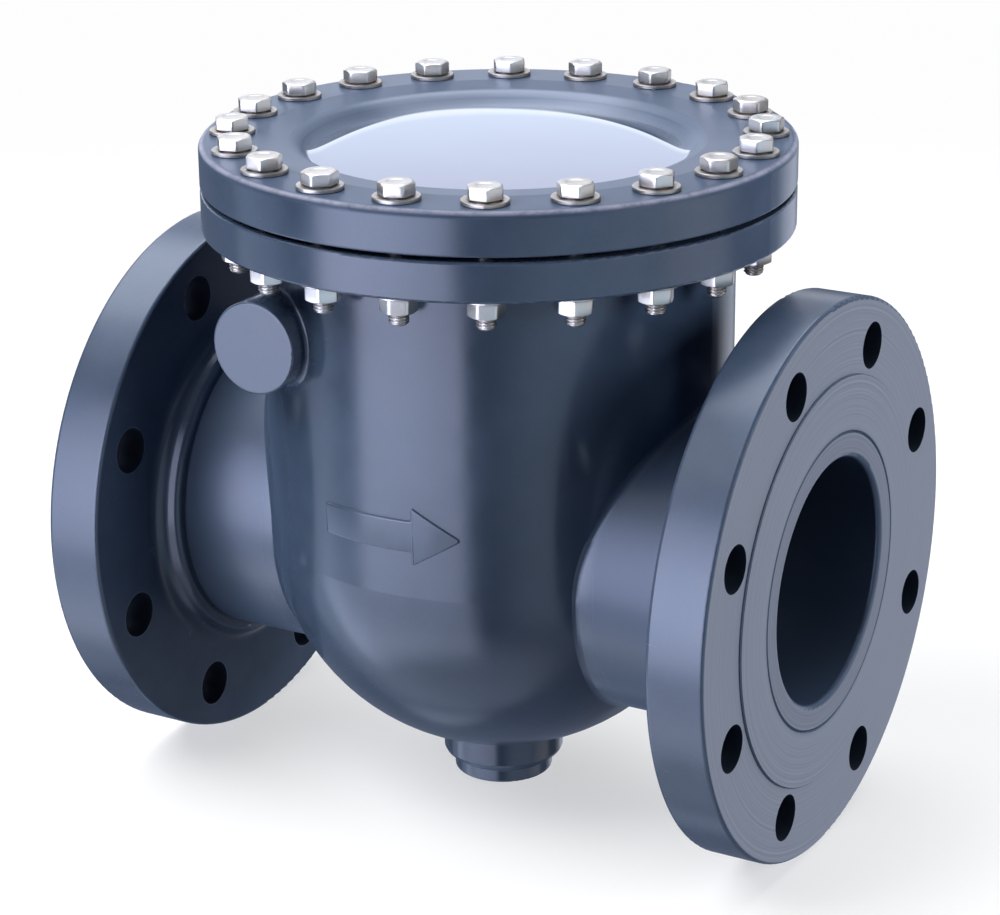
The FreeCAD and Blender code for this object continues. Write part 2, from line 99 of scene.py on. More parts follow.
# --------------------------------------------------------------------------
# Shader graph helpers
class Graph:
    """Short calls that add nodes to a node tree."""

    # Mix node sockets by data type: A, B and result
    MIX_SOCKETS = {"FLOAT": (2, 3, 0), "VECTOR": (4, 5, 1), "RGBA": (6, 7, 2)}

    def __init__(self, tree):
        self.tree = tree
        tree.nodes.clear()

    def node(self, kind, inputs=None, **settings):
        node = self.tree.nodes.new(kind)
        for name, value in settings.items():
            setattr(node, name, value)
        for key, value in (inputs or {}).items():
            self.put(node.inputs[key], value)
        return node

    def put(self, socket, value):
        """Link a socket or set a value; None leaves the input alone."""
        if isinstance(value, bpy.types.NodeSocket):
            self.tree.links.new(value, socket)
        elif value is not None:
            if isinstance(value, (tuple, list)) and len(value) == 3 and socket.type == "RGBA":
                value = (*value, 1.0)
            socket.default_value = value

    def math(self, operation, a, b=None, c=None):
        return self.node("ShaderNodeMath", {0: a, 1: b, 2: c}, operation=operation).outputs[0]

    def add(self, a, b):
        return self.math("ADD", a, b)

    def subtract(self, a, b):
        return self.math("SUBTRACT", a, b)

    def mul(self, product, *factors):
        for factor in factors:
            product = self.math("MULTIPLY", product, factor)
        return product

    def mul_add(self, a, factor, offset):
        return self.math("MULTIPLY_ADD", a, factor, offset)

    def absolute(self, a):
        return self.math("ABSOLUTE", a)

    def radius(self, a, b):
        return self.math("SQRT", self.add(self.mul(a, a), self.mul(b, b)))

    def rise(self, value, start, end, low=0.0, high=1.0, smooth=True):
        """Go from low to high while value goes from start to end."""
        node = self.node(
            "ShaderNodeMapRange",
            {"Value": value, "From Min": start, "From Max": end, "To Min": low, "To Max": high},
            interpolation_type="SMOOTHSTEP" if smooth else "LINEAR")
        return node.outputs["Result"]

    def fall(self, value, start, end):
        """Go from 1 to 0 while value goes from start to end."""
        return self.rise(value, start, end, low=1.0, high=0.0)

    def mix(self, factor, a, b, kind="RGBA"):
        socket_a, socket_b, result = self.MIX_SOCKETS[kind]
        node = self.node("ShaderNodeMix", {0: factor, socket_a: a, socket_b: b}, data_type=kind)
        return node.outputs[result]

    def vector_math(self, operation, a, b):
        node = self.node("ShaderNodeVectorMath", {0: a, 1: b}, operation=operation)
        return node.outputs["Value" if operation == "DOT_PRODUCT" else "Vector"]

    def split(self, vector):
        node = self.node("ShaderNodeSeparateXYZ", {0: vector})
        return node.outputs[0], node.outputs[1], node.outputs[2]


class Material(Graph):
    """A principled material whose colour, roughness and normal are built up in layers."""

    def __init__(self, name):
        self.material = bpy.data.materials.new(name)
        self.material.use_nodes = True
        super().__init__(self.material.node_tree)
        self.surface = self.node("ShaderNodeOutputMaterial").inputs["Surface"]
        self.principled = self.node("ShaderNodeBsdfPrincipled")
        self.shader = self.principled.outputs[0]
        self.put(self.surface, self.shader)
        coordinates = self.node("ShaderNodeTexCoord")
        self.position = coordinates.outputs["Object"]
        self.object_normal = coordinates.outputs["Normal"]
        self.x, self.y, self.z = self.split(self.position)
        self.normal = None

    def noise(self, scale, detail=2.0, rough=0.5, distortion=0.0, vector=None):
        return self.node("ShaderNodeTexNoise", {
            "Vector": vector or self.position, "Scale": scale, "Detail": detail,
            "Roughness": rough, "Distortion": distortion}).outputs["Fac"]

    def stretched(self, *scales):
        return self.vector_math("MULTIPLY", self.position, scales)

    def tool_marks(self, distance, scale):
        """Noise along one direction only."""
        return self.node(
            "ShaderNodeTexNoise",
            {"W": distance, "Scale": scale, "Detail": 3.0, "Roughness": 0.7},
            noise_dimensions="1D").outputs["Fac"]

    def edges(self, radius):
        """Mask of the convex and concave edges."""
        bevel = self.node("ShaderNodeBevel", {"Radius": radius}, samples=4)
        geometry = self.node("ShaderNodeNewGeometry")
        alike = self.vector_math("DOT_PRODUCT", bevel.outputs["Normal"], geometry.outputs["Normal"])
        return self.rise(self.subtract(1.0, alike), 0.03, 0.25)

    def hollows(self, distance, start=0.3, end=0.9):
        """Mask of the places shut in within a distance."""
        occlusion = self.node("ShaderNodeAmbientOcclusion", {"Distance": distance}, samples=4)
        return self.fall(occlusion.outputs["AO"], start, end)

    def bump(self, height, distance, normal):
        return self.node("ShaderNodeBump", {
            "Strength": 1.0, "Distance": distance, "Height": height,
            "Normal": normal}).outputs["Normal"]

    # Layers
    def tint(self, mask, colour, amount=None):
        if amount is not None:
            mask = self.mul(mask, amount)
        self.colour = self.mix(mask, self.colour, colour)

    def roughen(self, mask, amount):
        self.rough = self.mul_add(mask, amount, self.rough)

    def rough_to(self, mask, rough):
        self.rough = self.mix(mask, self.rough, rough, kind="FLOAT")

    def emboss(self, height, distance):
        self.normal = self.bump(height, distance, self.normal)

    def set(self, name, value):
        self.put(self.principled.inputs[name], value)

    def reduce_specular(self, amount):
        self.set("Specular IOR Level", self.subtract(0.5, amount))

    def finish(self):
        self.set("Base Color", self.colour)
        self.set("Roughness", self.rough)
        self.set("Normal", self.normal)
        return self.material


# --------------------------------------------------------------------------
# Materials
def pvc(name, rough, edge_wear_and_sheen=0.36, dust_and_shade=0.35):
    """Moulded blue-grey PVC; the last two arguments are how strongly edges and hollows are tinted:
    edges paler from rubbing and as a painted highlight, hollows darker from settled dirt and as
    painted shade.
    """
    g = Material(name)
    broad = g.noise(scale=9.0, detail=3.0, rough=0.55)
    g.mottle = g.noise(scale=55.0, detail=4.0, rough=0.6)
    fine = g.noise(scale=900.0, detail=3.0, rough=0.6)
    tone = g.mul_add(broad, 0.6, g.mul(g.mottle, 0.4))
    dark, light = (0.026, 0.043, 0.078), (0.040, 0.062, 0.106)
    g.colour = g.mix(g.rise(tone, 0.32, 0.68, smooth=False), dark, light)
    warm = g.noise(scale=23.0, distortion=0.4)
    g.tint(g.rise(warm, 0.52, 0.7, high=0.25), (0.050, 0.058, 0.098))
    g.tint(g.rise(fine, 0.35, 0.75, high=0.16), (0.055, 0.075, 0.118))
    # handling scuffs, long, thin and sparse
    streaks = g.noise(scale=1.0, detail=3.0, rough=0.65, distortion=1.2,
                      vector=g.stretched(160.0, 160.0, 1500.0))
    scuffs = g.mul(g.rise(streaks, 0.66, 0.78), g.rise(g.noise(scale=14.0), 0.5, 0.68))
    g.tint(scuffs, (0.13, 0.15, 0.20), amount=0.20)
    g.rough = g.mul_add(g.rise(g.mottle, 0.3, 0.75, smooth=False), 0.07, rough - 0.02)
    g.roughen(scuffs, 0.12)
    # edges are paler and duller, partly from rubbing and partly as a painted highlight
    patches = g.noise(scale=160.0, detail=4.0, rough=0.7)
    paling = g.mul(g.edges(0.0011), g.rise(patches, 0.36, 0.62, low=0.25))
    g.tint(paling, (0.20, 0.225, 0.29), amount=edge_wear_and_sheen)
    g.roughen(paling, 0.14)
    # hollows are tinted darker: a little dust, and painted shade
    patches = g.noise(scale=220.0, detail=3.0, rough=0.6)
    dust_shade_mask = g.mul(g.hollows(0.010, start=0.35, end=0.85), g.rise(patches, 0.3, 0.7, low=0.35))
    g.tint(dust_shade_mask, (0.030, 0.038, 0.055), amount=dust_and_shade)
    g.roughen(dust_shade_mask, 0.18)
    # soft waviness of a thick moulding, orange peel from the mould, scuffs
    g.emboss(g.noise(scale=24.0, rough=0.4), distance=0.00022)
    g.emboss(g.noise(scale=620.0), distance=0.000012)
    g.emboss(scuffs, distance=0.00001)
    g.set("IOR", 1.53)
    return g


def from_middle(g):
    return g.absolute(g.subtract(g.x, PIPE_MIDDLE_X))


def turned_ends(g):
    """Normal x, faces square to the pipe, the outermost of them, pipe radius and lathe marks."""
    normal_x = g.split(g.object_normal)[0]
    faces = g.rise(g.absolute(normal_x), 0.90, 0.98)
    ends = g.mul(faces, g.rise(from_middle(g), 0.1470, 0.1485))
    radius = g.radius(g.y, g.z)
    return normal_x, faces, ends, radius, g.tool_marks(radius, scale=900.0)


def pvc_body():
    g = pvc("pvc_body", rough=0.17)
    # faced ends of the two stubs inside the flanges
    _, _, ends, radius, lathe = turned_ends(g)
    pale = g.mix(g.rise(lathe, 0.3, 0.7), (0.120, 0.132, 0.165), (0.175, 0.188, 0.225))
    g.tint(ends, pale, amount=0.8)
    g.rough_to(ends, 0.46)
    # the necks were turned after moulding and are duller than the barrel; their paler tint is a
    # painted sheen
    necks = g.mul(g.rise(from_middle(g), 0.068, 0.080), g.fall(radius, 0.0675, 0.0700))
    g.rough_to(g.mul(necks, g.subtract(1.0, ends)), 0.29)
    g.tint(necks, (0.052, 0.074, 0.118), amount=0.22)
    # the outlet neck and the outlet side of the barrel have lost some of their gloss
    beside_neck = g.mul(g.rise(radius, 0.0675, 0.0700), g.fall(g.z, 0.1285, 0.1295))
    outlet_side = g.mul(g.rise(g.x, 0.222, 0.238), beside_neck)
    outlet_neck = g.mul(necks, g.rise(g.x, 0.20, 0.21))
    g.reduce_specular(g.add(g.mul(outlet_side, 0.32), g.mul(outlet_neck, 0.15)))
    return g.finish()


def pvc_flange():
    g = pvc("pvc_flange", rough=0.22)
    # concentric tool marks on the two faces, round marks on the rim
    normal_x, faces, ends, radius, lathe = turned_ends(g)
    groove_pitch = 0.00055
    grooves = g.math("SINE", g.mul(radius, 2 * math.pi / groove_pitch))
    rings = g.mul_add(lathe, 1.2, g.mul(grooves, 0.35))
    face_normal = g.bump(rings, distance=0.000020, normal=g.normal)
    rim_marks = g.tool_marks(g.x, scale=1500.0)
    rim_normal = g.bump(rim_marks, distance=0.000006, normal=g.normal)
    g.normal = g.mix(faces, rim_normal, face_normal, kind="VECTOR")
    # only the outer sealing faces are freshly turned, so they are paler and matt
    pale = g.mix(g.rise(lathe, 0.3, 0.7), (0.120, 0.135, 0.175), (0.175, 0.190, 0.235))
    g.tint(ends, pale, amount=0.85)
    g.rough_to(ends, g.rise(lathe, 0.2, 0.8, low=0.40, high=0.52))
    # drilled bolt holes stay rough inside, and their walls are tinted near black as painted shade
    bolt_band = g.mul(g.rise(radius, 0.0848, 0.0852), g.fall(radius, 0.1052, 0.1056))
    hole_walls = g.mul(g.fall(g.absolute(normal_x), 0.25, 0.5), bolt_band)
    g.tint(hole_walls, (0.010, 0.013, 0.020), amount=0.75)
    g.rough_to(hole_walls, 0.55)
    g.reduce_specular(g.mul(hole_walls, 0.38))
    return g.finish()


def pvc_bonnet():
    g = pvc("pvc_bonnet", rough=0.20)
    from_axis = g.subtract(g.x, CENTRE_X)
    radius = g.radius(from_axis, g.y)
    # polished dish floor and duller top face
    dish = g.mul(g.fall(radius, 0.0690, 0.0740), g.fall(g.z, 0.1575, 0.1590))
    top = g.mul(g.rise(g.z, 0.1615, 0.1632), g.rise(radius, 0.0790, 0.0820))
    g.rough_to(top, 0.34)
    g.rough_to(dish, 0.16)
    # painted highlight: the outer top edge is tinted pale in patches and made duller
    patches = g.noise(scale=130.0, detail=4.0, rough=0.7)
    lip = g.mul(g.rise(radius, RIM_RADIUS - 0.0026, RIM_RADIUS - 0.0008),
                g.rise(g.z, BONNET_TOP - 0.0020, BONNET_TOP - 0.0006),
                g.rise(patches, 0.30, 0.60, low=0.45))
    g.tint(lip, (0.215, 0.225, 0.300))
    g.rough_to(lip, 0.40)
    # painted reflection: the polished floor glows with the white room, as if mirrored over the top
    # of the dish wall
    upward = g.node("ShaderNodeCombineXYZ", {2: 1.0}).outputs[0]
    fresnel = g.node("ShaderNodeFresnel", {"IOR": 1.53, "Normal": upward}).outputs[0]
    # horizontal axes turned to the viewer: distance away and distance to the right
    view_sine, view_cosine = 0.4955, 0.8686
    away = g.add(g.mul(from_axis, -view_sine), g.mul(g.y, view_cosine))
    side = g.add(g.mul(from_axis, view_cosine), g.mul(g.y, view_sine))
    # the far limit of the painted reflection is a quartic curve in side
    square = g.mul(side, side)
    far = g.mul_add(side, -0.0411, 0.0734)
    far = g.subtract(far, g.mul(square, 6.50))
    far = g.subtract(far, g.mul(square, square, 1190.0))
    gap = g.subtract(far, away)
    lit = g.mul(g.rise(gap, -0.0009, 0.0009), g.fall(g.z, 0.1588, 0.1600),
                g.fall(radius, 0.0765, 0.0785))
    top_loss = g.mul(top, g.rise(away, -0.12, 0.12, low=0.34, high=0.10, smooth=False))
    g.reduce_specular(g.add(top_loss, g.mul(g.math("MAXIMUM", dish, lit), 0.50)))
    # the turned wall between the floor and the lip is tinted paler as painted light, most of all on
    # the far side
    wall = g.mul(g.rise(radius, 0.0735, 0.0760), g.fall(radius, 0.0815, 0.0850))
    wall = g.mul(wall, g.mul(g.subtract(1.0, lit), g.rise(g.z, 0.1560, 0.1570)))
    paling = g.rise(away, 0.052, 0.070, low=0.22, high=0.92)
    g.tint(g.mul(wall, paling), (0.135, 0.165, 0.230))
    g.rough_to(wall, 0.40)
    # colour of the painted reflection of the room: near to far, then its far border, then mottling
    painted_room_colour = g.mix(g.rise(away, -0.070, 0.055, smooth=False), (1.80, 1.83, 2.25), (2.12, 2.34, 2.75))
    painted_room_colour = g.mix(g.rise(gap, 0.0010, 0.0110), (2.75, 2.90, 3.20), painted_room_colour)
    painted_room_colour = g.mix(g.rise(g.mottle, 0.3, 0.7, high=0.12), painted_room_colour, (1.80, 1.82, 2.25))
    glow = g.node("ShaderNodeEmission", {"Color": painted_room_colour, "Strength": g.mul(fresnel, lit)})
    both = g.node("ShaderNodeAddShader", {0: g.shader, 1: glow.outputs[0]})
    g.put(g.surface, both.outputs[0])
    return g.finish()


def steel(name, base, rough, dents=1.0, warm=0.35):
    """Stainless steel with light handling marks."""
    g = Material(name)
    fine = g.noise(scale=1800.0, detail=3.0, rough=0.6)
    darker = tuple(c * k for c, k in zip(base, (0.93, 0.90, 0.86)))
    g.colour = g.mix(g.rise(g.noise(scale=40.0), 0.35, 0.65), base, darker)
    stains = g.noise(scale=95.0, rough=0.6, distortion=0.5)
    g.tint(g.rise(stains, 0.52, 0.70, high=warm), (0.74, 0.60, 0.46))
    g.tint(g.rise(fine, 0.45, 0.8, high=0.22), (0.52, 0.50, 0.48))
    hollows = g.hollows(0.0035)
    edges = g.edges(0.00035)
    # painted shade: the hollows are tinted dark
    g.tint(hollows, (0.10, 0.092, 0.086), amount=0.62)
    # painted highlight: the edges are tinted pale
    g.tint(edges, (0.92, 0.90, 0.88), amount=0.5)
    g.rough = g.mul_add(g.rise(fine, 0.3, 0.8, smooth=False), 0.10, rough)
    g.roughen(hollows, 0.18)
    g.rough = g.subtract(g.rough, g.mul(edges, 0.05))
    g.emboss(g.noise(scale=420.0, detail=3.0, rough=0.6), distance=0.00010 * dents)
    scratches = g.noise(scale=1.0, detail=3.0, rough=0.7, distortion=0.8,
                        vector=g.stretched(900.0, 2600.0, 1400.0))
    g.emboss(g.rise(scratches, 0.60, 0.72), distance=0.000006)
    g.emboss(fine, distance=0.000005)
    g.set("Metallic", 1.0)
    return g.finish()


def rubber(name):
    g = Material(name)
    base = (0.018, 0.018, 0.019)
    fine = g.noise(scale=1500.0, detail=3.0, rough=0.6)
    broad = g.noise(scale=60.0, detail=3.0, rough=0.6)
    g.colour = g.mix(g.rise(broad, 0.3, 0.7), base, tuple(c * 1.7 for c in base))
    bloom = g.noise(scale=120.0, detail=4.0, rough=0.7)
    g.tint(g.rise(bloom, 0.48, 0.75, high=0.35), (0.055, 0.056, 0.058))
    # painted highlight: the edges are tinted paler
    g.tint(g.edges(0.0004), (0.09, 0.09, 0.092), amount=0.3)
    g.rough = g.mul_add(g.rise(fine, 0.3, 0.7), 0.12, 0.55)
    g.emboss(fine, distance=0.000025)
    g.emboss(g.noise(scale=260.0), distance=0.00006)
    g.set("IOR", 1.51)
    return g.finish()


def ptfe(name):
    """White PTFE with marks around the Y axis."""
    g = Material(name)
    fine = g.noise(scale=1100.0, detail=3.0, rough=0.6)
    broad = g.noise(scale=70.0, detail=3.0, rough=0.6)
    g.colour = g.mix(g.rise(broad, 0.3, 0.7), (0.78, 0.77, 0.73), (0.66, 0.655, 0.62))
    # painted shade: the hollows are tinted darker
    g.tint(g.hollows(0.004), (0.33, 0.31, 0.27), amount=0.45)
    # painted highlight: the edges are tinted paler
    g.tint(g.edges(0.0005), (0.86, 0.86, 0.84), amount=0.4)
    g.rough = g.mul_add(fine, 0.14, 0.36)
    g.emboss(g.tool_marks(g.y, scale=2200.0), distance=0.000012)
    g.emboss(fine, distance=0.00001)
    g.set("IOR", 1.38)
    g.set("Subsurface Weight", 0.04)
    return g.finish()


def assign(material, *names):
    for name in names:
        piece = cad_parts[name]
        if not piece.data.materials:
            piece.data.materials.append(material)
        for slot in piece.material_slots:
            slot.material = material


BODY = pvc_body()
ARROW = pvc("pvc_arrow", rough=0.17, edge_wear_and_sheen=0.10, dust_and_shade=0.15).finish()
BONNET = pvc_bonnet()
FLANGE = pvc_flange()
INNER = pvc("pvc_inner", rough=0.30).finish()
SMALL = pvc("pvc_small", rough=0.24).finish()
STEEL = steel("stainless", base=(0.66, 0.625, 0.570), rough=0.30, dents=0.5)
WASHER = steel("washer_steel", base=(0.50, 0.465, 0.415), rough=0.34, dents=0.5, warm=0.5)
SHAFT = steel("ground_steel", base=(0.72, 0.71, 0.70), rough=0.16, dents=0.15, warm=0.08)
RUBBER = rubber("epdm")
PTFE = ptfe("ptfe")

assign(BODY, "valve_body")
assign(BONNET, "bonnet")
assign(FLANGE, "inlet_flange", "outlet_flange")
assign(INNER, "seat_ring", "disc", "disc_retainer", "swing_arm")
assign(SMALL, "hinge_plug", "drain_plug")
assign(WASHER, "bolt_washers", "nut_washers")
assign(STEEL, "disc_stud", "stud_washer", "stud_nut", "arm_pin", "cotter_pin",
       "bonnet_bolts", "bonnet_nuts")
assign(SHAFT, "hinge_shaft")
assign(RUBBER, "bonnet_gasket", "seat_oring", "disc_seal", "stop_bumper", "hinge_plug_oring",
       "drain_plug_oring")
assign(PTFE, "bush_front", "bush_rear", "spacer_front", "spacer_rear")


# --------------------------------------------------------------------------
# Mesh helpers
def link_object(name, data):
    thing = bpy.data.objects.new(name, data)
    SCENE.collection.objects.link(thing)
    return thing


def smooth_object(mesh, bm, material, sharp_degrees):
    """Write bm into the mesh, smooth it up to the sharp angle and link an object of its name."""
    bmesh.ops.recalc_face_normals(bm, faces=bm.faces)
    bm.to_mesh(mesh)
    bm.free()
    mesh.materials.append(material)
    mesh.shade_smooth()
    mesh.set_sharp_from_angle(angle=math.radians(sharp_degrees))
    return link_object(mesh.name, mesh)


def mesh_object(name, vertices, faces, material, sharp_degrees):
    mesh = bpy.data.meshes.new(name)
    mesh.from_pydata([tuple(v) for v in vertices], [], faces)
    mesh.update()
    bm = bmesh.new()
    bm.from_mesh(mesh)
    return smooth_object(mesh, bm, material, sharp_degrees)


def tube_faces(rows, count, loop=False):
    """Quads between rows of count points; loop joins the last row to the first."""
    return [(i * count + k, i * count + (k + 1) % count,
             (i + 1) % rows * count + (k + 1) % count, (i + 1) % rows * count + k)
            for i in range(rows if loop else rows - 1) for k in range(count)]


# --------------------------------------------------------------------------
# Hexagon bolts and nuts, modelled in mm. A row is a function from angle to (radius, z).
def hex_radius(angle):
    """Distance from the axis to the side of a hexagon with softened corners."""
    apothem = ACROSS_FLATS / 2.0
    folded = (angle + math.pi / 6) % (math.pi / 3) - math.pi / 6
    flat = apothem / math.cos(folded)
    corner = apothem / math.cos(math.pi / 6) - CORNER_SOFTENING
    blend = CORNER_SOFTENING * 1.2
    nearness = max(blend - abs(flat - corner), 0.0) / blend
    return min(flat, corner) - nearness * nearness * blend / 4.0


def hex_angles():
    """Angles around a hexagon, closest together at its corners."""
    offsets = [-30, -24, -17, -10, -6, -3.5, -2, -1, 0, 1, 2, 3.5, 6, 10, 17, 24]
    return [math.radians(30 + 60 * k + offset) for k in range(6) for offset in offsets]


def revolve(rows, loop=False):
    """Skin the rows into vertices in metres and faces, closed by a loop or by two end caps."""
    angles = hex_angles()
    count = len(angles)
    vertices = []
    for row in rows:
        for angle in angles:
            r, z = row(angle)
            vertices.append((r * math.cos(angle), r * math.sin(angle), z))
    faces = tube_faces(len(rows), count, loop)
    if not loop:
        centre = len(vertices)
        last = centre - count
        vertices.append((0.0, 0.0, rows[0](0)[1]))
        vertices.append((0.0, 0.0, rows[-1](0)[1]))
        faces += [(centre, (k + 1) % count, k) for k in range(count)]
        faces += [(centre + 1, last + k, last + (k + 1) % count) for k in range(count)]
    return [(x * MM, y * MM, z * MM) for x, y, z in vertices], faces


def rings(*stations):
    """Round rows from (radius, z) stations."""
    return [lambda angle, station=station: station for station in stations]


def hex_rows(*stations):
    """Six-sided rows from (inset, z) stations."""
    return [lambda angle, inset=inset, z=z: (hex_radius(angle) - inset, z)
            for inset, z in stations]


def shoulder(face, inward, inner, slope_degrees):
    """Rows from the inner radius of an end chamfer out to the flats.

    face is the z of the end face; inward is the sign of z going into the metal."""
    slope = math.tan(math.radians(slope_degrees))

    def chamfer(share):
        def row(angle):
            radius = inner + (hex_radius(angle) - CHAMFER_INSET - inner) * share
            return radius, face + inward * (CHAMFER_START + (radius - inner) * slope)
        return row

    def side(inset, drop):
        def row(angle):
            radius = hex_radius(angle)
            depth = CHAMFER_START + (radius - CHAMFER_INSET - inner) * slope + drop
            return radius - inset, face + inward * depth
        return row

    return [chamfer(0.0), chamfer(0.5), chamfer(1.0),
            side(inset=0.05, drop=0.08), side(inset=0.0, drop=0.24)]


def thread_rows(top):
    """Helical thread from just below top to the tapered tip."""
    pitch, minor = 1.25, 3.32
    step = pitch / 8
    run_in_z, run_in = -(BOLT_LENGTH - 8.8), 0.9  # the groove deepens over this length
    taper, tip_radius = 1.1, 2.6

    def thread(z):
        fade = min(1.0, max(0.0, (run_in_z - z) / run_in))
        limit = max(SHANK_RADIUS - max(0.0, taper - (z + BOLT_LENGTH)), tip_radius)

        def row(angle):
            phase = (z / pitch - angle / (2 * math.pi)) % 1.0
            triangle = 1.0 - abs(2 * phase - 1.0)
            # flat root and crest
            crest = min(1.0, max(0.0, (triangle - 0.12) / 0.72))
            return min(SHANK_RADIUS - (SHANK_RADIUS - minor) * (1 - crest) * fade, limit), z
        return row

    rows = []
    z = top - step
    while z > -BOLT_LENGTH + 0.02:
        rows.append(thread(z))
        z -= step
    return rows


def bolt_mesh():
    """Bolt with its head's underside at z 0, head up and shank down."""
    top = HEAD_HEIGHT
    inner = ACROSS_FLATS / 2 * 0.93
    thread_top = -(BOLT_LENGTH - 9.0)
    # head top, with a shallow round recess
    rows = rings((1.2, top - 0.34), (2.4, top - 0.32), (3.1, top - 0.22), (3.6, top - 0.07),
                 (4.0, top), (inner - 0.5, top), (inner - 0.12, top - 0.015))
    rows += shoulder(face=top, inward=-1, inner=inner, slope_degrees=27)
    rows += hex_rows((0.0, 2.0), (0.0, 0.75), (0.03, 0.58), (0.14, 0.47))
    # round bearing face under the head, then the plain shank
    rows += rings((6.15, 0.42), (6.08, 0.38), (6.0, 0.04), (5.95, 0.0), (4.3, 0.0),
                  (SHANK_RADIUS, -0.25), (SHANK_RADIUS, -12.0), (SHANK_RADIUS, -25.0),
                  (SHANK_RADIUS, thread_top))
    rows += thread_rows(thread_top)
    rows += rings((2.85, -BOLT_LENGTH), (1.4, -BOLT_LENGTH + 0.02))
    return revolve(rows)


def nut_mesh():
    """Nut standing on z 0, chamfered on both sides."""
    top = NUT_HEIGHT
    inner = ACROSS_FLATS / 2 * 0.935
    rows = rings((NUT_BORE, top * 0.25), (NUT_BORE, top * 0.5), (NUT_BORE, top - 0.45),
                 (4.38, top - 0.06), (4.5, top), (inner - 0.5, top), (inner - 0.1, top - 0.012))
    rows += shoulder(face=top, inward=-1, inner=inner, slope_degrees=28)
    rows += hex_rows((0.0, top / 2))
    rows += reversed(shoulder(face=0.0, inward=1, inner=inner, slope_degrees=28))
    rows += rings((inner - 0.1, 0.012), (inner - 0.5, 0.0), (4.5, 0.0), (4.38, 0.06),
                  (NUT_BORE, 0.45))
    return revolve(rows, loop=True)


def bolt_circle(name, part, z, turns):
    """Copies of a part around the bonnet, each turned by its own number of degrees."""
    vertices, faces = [], []
    part_vertices, part_faces = part
    for k, turn in enumerate(turns):
        angle = math.radians(BOLT_PHASE + 360.0 * k / BOLT_COUNT)
        place = (CENTRE_X + BOLT_CIRCLE * math.cos(angle),
                 CENTRE_Y + BOLT_CIRCLE * math.sin(angle), z)
        matrix = (Matrix.Translation(place)
                  @ Matrix.Rotation(angle + math.radians(turn), 4, "Z"))
        base = len(vertices)
        vertices += [matrix @ Vector(p) for p in part_vertices]
        faces += [tuple(base + i for i in face) for face in part_faces]
    return mesh_object(name, vertices, faces, STEEL, sharp_degrees=34.0)


bolts = bolt_circle("hex_bolts", bolt_mesh(), HEAD_Z, BOLT_TURNS)
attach(bolts, "valve")
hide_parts("bonnet_bolts")

nut_turns = [BOLT_TURNS[(k * 7) % BOLT_COUNT] + 9 for k in range(BOLT_COUNT)]
nuts = bolt_circle("hex_nuts", nut_mesh(), nut_low.z, nut_turns)
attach(nuts, "valve")
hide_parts("bonnet_nuts")


# --------------------------------------------------------------------------
# Raised block arrow on the barrel, following its curve; outlined in mm
def rounded(polygon, radii, steps=5):
    """Polygon with each corner replaced by an arc of its own radius."""
    outline = []
    for i, (corner, radius) in enumerate(zip(polygon, radii)):
        corner = Vector(corner)
        before = Vector(polygon[i - 1]) - corner
        after = Vector(polygon[(i + 1) % len(polygon)]) - corner
        to_before, to_after = before.normalized(), after.normalized()
        half = math.acos(max(-1.0, min(1.0, to_before.dot(to_after)))) / 2
        reach = min(radius / math.tan(half), before.length * 0.45, after.length * 0.45)
        fitted = reach * math.tan(half)
        centre = corner + (to_before + to_after).normalized() * (fitted / math.sin(half))
        start = corner + to_before * reach - centre
        end = corner + to_after * reach - centre
        sweep_angle = math.atan2(start.x * end.y - start.y * end.x, start.dot(end))
        for k in range(steps + 1):
            t = sweep_angle * k / steps
            outline.append(centre + Vector((start.x * math.cos(t) - start.y * math.sin(t),
                                            start.x * math.sin(t) + start.y * math.cos(t))))
    return outline


def inset_outline(outline, distance):
    """Counter-clockwise outline moved inward by a distance."""
    moved = []
    for i, point in enumerate(outline):
        arriving = point - outline[i - 1]
        leaving = outline[(i + 1) % len(outline)] - point
        arriving = arriving.normalized() if arriving.length > 1e-9 else leaving.normalized()
        leaving = leaving.normalized() if leaving.length > 1e-9 else arriving
        normal = Vector((-arriving.y, arriving.x))
        mitre = normal + Vector((-leaving.y, leaving.x))
        mitre = mitre.normalized() if mitre.length > 1e-6 else normal
        moved.append(point + mitre * (distance / max(0.5, mitre.dot(normal))))
    return moved


def on_barrel(along, z, height):
    """Point in metres from mm along the barrel's curve, z and height above its surface."""
    angle = along / (BARREL_RADIUS / MM)
    # the arrow stands proud at its upper edges and nearly runs out at its lower ones
    if height > 0:
        height *= min(1.0, max(0.24, (z - ARROW_Z + 9.0) / 14.5))
    radius = BARREL_RADIUS + height * MM
    return Vector((CENTRE_X + radius * math.sin(angle), CENTRE_Y - radius * math.cos(angle),
                   z * MM))


